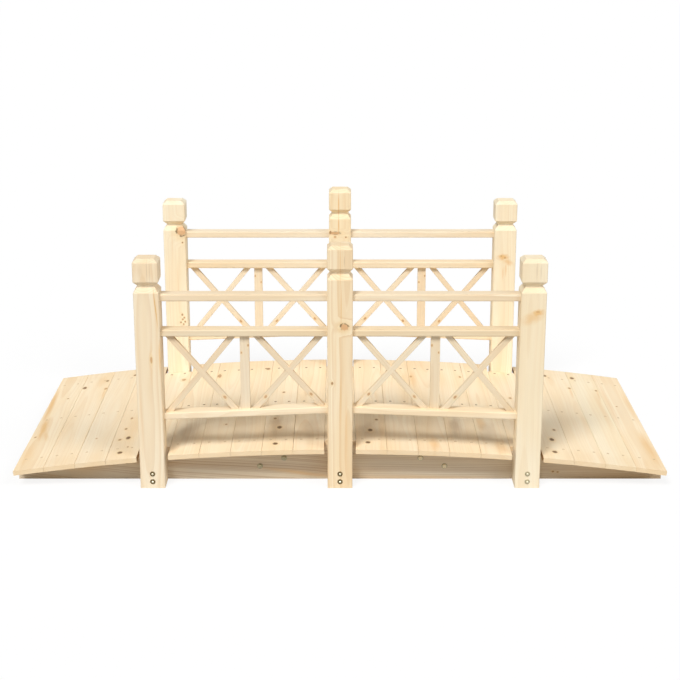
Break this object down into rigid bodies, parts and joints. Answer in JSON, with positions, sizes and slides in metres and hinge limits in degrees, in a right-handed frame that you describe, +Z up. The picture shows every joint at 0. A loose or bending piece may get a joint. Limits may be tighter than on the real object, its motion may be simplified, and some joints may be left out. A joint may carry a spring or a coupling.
{
  "type": "arched wooden garden bridge",
  "caption": "Low arched softwood garden footbridge: cross boards on arched beams, capped square posts, and railings of straight rails over crossed lattice braces.",
  "frame": {"origin": "on the ground, under the middle of the deck", "axes": "+X along the bridge to the right in the picture, +Y across it away from the viewer, +Z up"},
  "size_m": [1.4998, 0.67, 0.57],
  "materials": {
    "deck_wood": "sawn and planed, untreated",
    "beam_wood": "sawn, untreated",
    "post_wood": "planed, untreated",
    "rail_wood": "planed, untreated",
    "lattice_wood": "planed, untreated",
    "zinc_steel": "zinc plated"
  },
  "bodies": {
    "root": {"front_beam_left": "beam_wood", "front_beam_right": "beam_wood", "centre_beam_left": "beam_wood", "centre_beam_right": "beam_wood", "back_beam_left": "beam_wood", "back_beam_right": "beam_wood", "front_splice_plate": "beam_wood", "back_splice_plate": "beam_wood", "deck_board_01": "deck_wood", "deck_board_02": "deck_wood", "deck_board_03": "deck_wood", "deck_board_04": "deck_wood", "deck_board_05": "deck_wood", "deck_board_06": "deck_wood", "deck_board_07": "deck_wood", "deck_board_08": "deck_wood", "deck_board_09": "deck_wood", "deck_board_10": "deck_wood", "deck_board_11": "deck_wood", "deck_board_12": "deck_wood", "deck_board_13": "deck_wood", "deck_board_14": "deck_wood", "deck_board_15": "deck_wood", "deck_board_16": "deck_wood", "deck_board_17": "deck_wood", "deck_board_18": "deck_wood", "deck_board_19": "deck_wood", "deck_board_20": "deck_wood", "deck_board_21": "deck_wood", "front_left_post": "post_wood", "front_middle_post": "post_wood", "front_right_post": "post_wood", "back_left_post": "post_wood", "back_middle_post": "post_wood", "back_right_post": "post_wood", "front_top_rails": "rail_wood", "front_middle_rails": "rail_wood", "front_lower_rails": "rail_wood", "back_top_rails": "rail_wood", "back_middle_rails": "rail_wood", "back_lower_rails": "rail_wood", "front_left_lattice": "lattice_wood", "front_right_lattice": "lattice_wood", "back_left_lattice": "lattice_wood", "back_right_lattice": "lattice_wood"}
  },
  "joints": []
}
